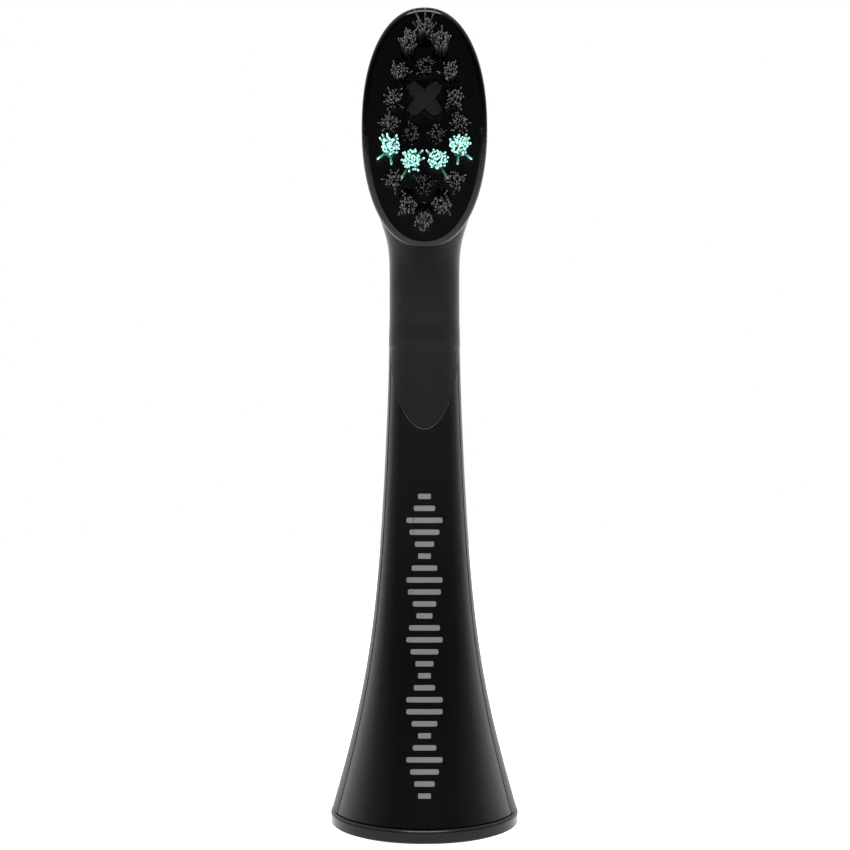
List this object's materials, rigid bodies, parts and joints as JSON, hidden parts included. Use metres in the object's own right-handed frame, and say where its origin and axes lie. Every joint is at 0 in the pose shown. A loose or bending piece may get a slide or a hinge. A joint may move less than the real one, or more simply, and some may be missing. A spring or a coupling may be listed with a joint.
{
  "type": "toothbrush replacement head",
  "caption": "Slim sonic toothbrush head: oval bristle head with a rubber cross, round neck, flared hollow skirt with a glossy front cover and a base ring around a drive socket.",
  "frame": {"origin": "where the drive axis meets the slanted face of the base ring that rests on the handle", "axes": "+Z along the drive axis from the seat face towards the tip of the head, -Y the way the bristles point, +X to the right seen from the bristles' side"},
  "size_m": [0.0176, 0.0225, 0.0784],
  "materials": {
    "matte_black": "fine matte moulded surface",
    "gloss_black": "polished, high gloss",
    "ring_black": "satin",
    "socket_grey": "smooth natural acetal",
    "spring_steel": "rolled strip",
    "anchor_metal": "plain strip",
    "polisher_rubber": "matte soft rubber",
    "print_grey": "pad-printed ink",
    "bristle_black": "nylon filaments",
    "bristle_teal": "nylon filaments"
  },
  "bodies": {
    "brush_body": {"base_ring": "ring_black", "drive_socket": "socket_grey", "front_cover": "gloss_black", "polisher": "polisher_rubber", "spring_leg": "spring_steel", "stem": "matte_black", "tuft_anchors": "anchor_metal", "tuft_heel": "bristle_black", "tuft_heel_side_left": "bristle_black", "tuft_heel_side_right": "bristle_black", "tuft_inner_lower": "bristle_black", "tuft_inner_middle_left": "bristle_black", "tuft_inner_middle_right": "bristle_black", "tuft_inner_upper": "bristle_black", "tuft_lower_left": "bristle_black", "tuft_lower_right": "bristle_black", "tuft_middle_side_left": "bristle_black", "tuft_middle_side_right": "bristle_black", "tuft_shoulder_left": "bristle_black", "tuft_shoulder_right": "bristle_black", "tuft_teal_inner_left": "bristle_teal", "tuft_teal_inner_right": "bristle_teal", "tuft_teal_side_left": "bristle_teal", "tuft_teal_side_right": "bristle_teal", "tuft_tip": "bristle_black", "tuft_upper_left": "bristle_black", "tuft_upper_right": "bristle_black", "tuft_upper_side_left": "bristle_black", "tuft_upper_side_right": "bristle_black"},
    "spring_end": {"spring_tongue": "spring_steel"}
  },
  "joints": [
    {"name": "spring_flex", "type": "hinge", "parent": "brush_body", "child": "spring_end", "pos_m": [0, 0.00295, 0.015], "axis": [1, 0, 0], "range_deg": [0, 8], "stiffness_Nm_per_rad": 0.3}
  ]
}
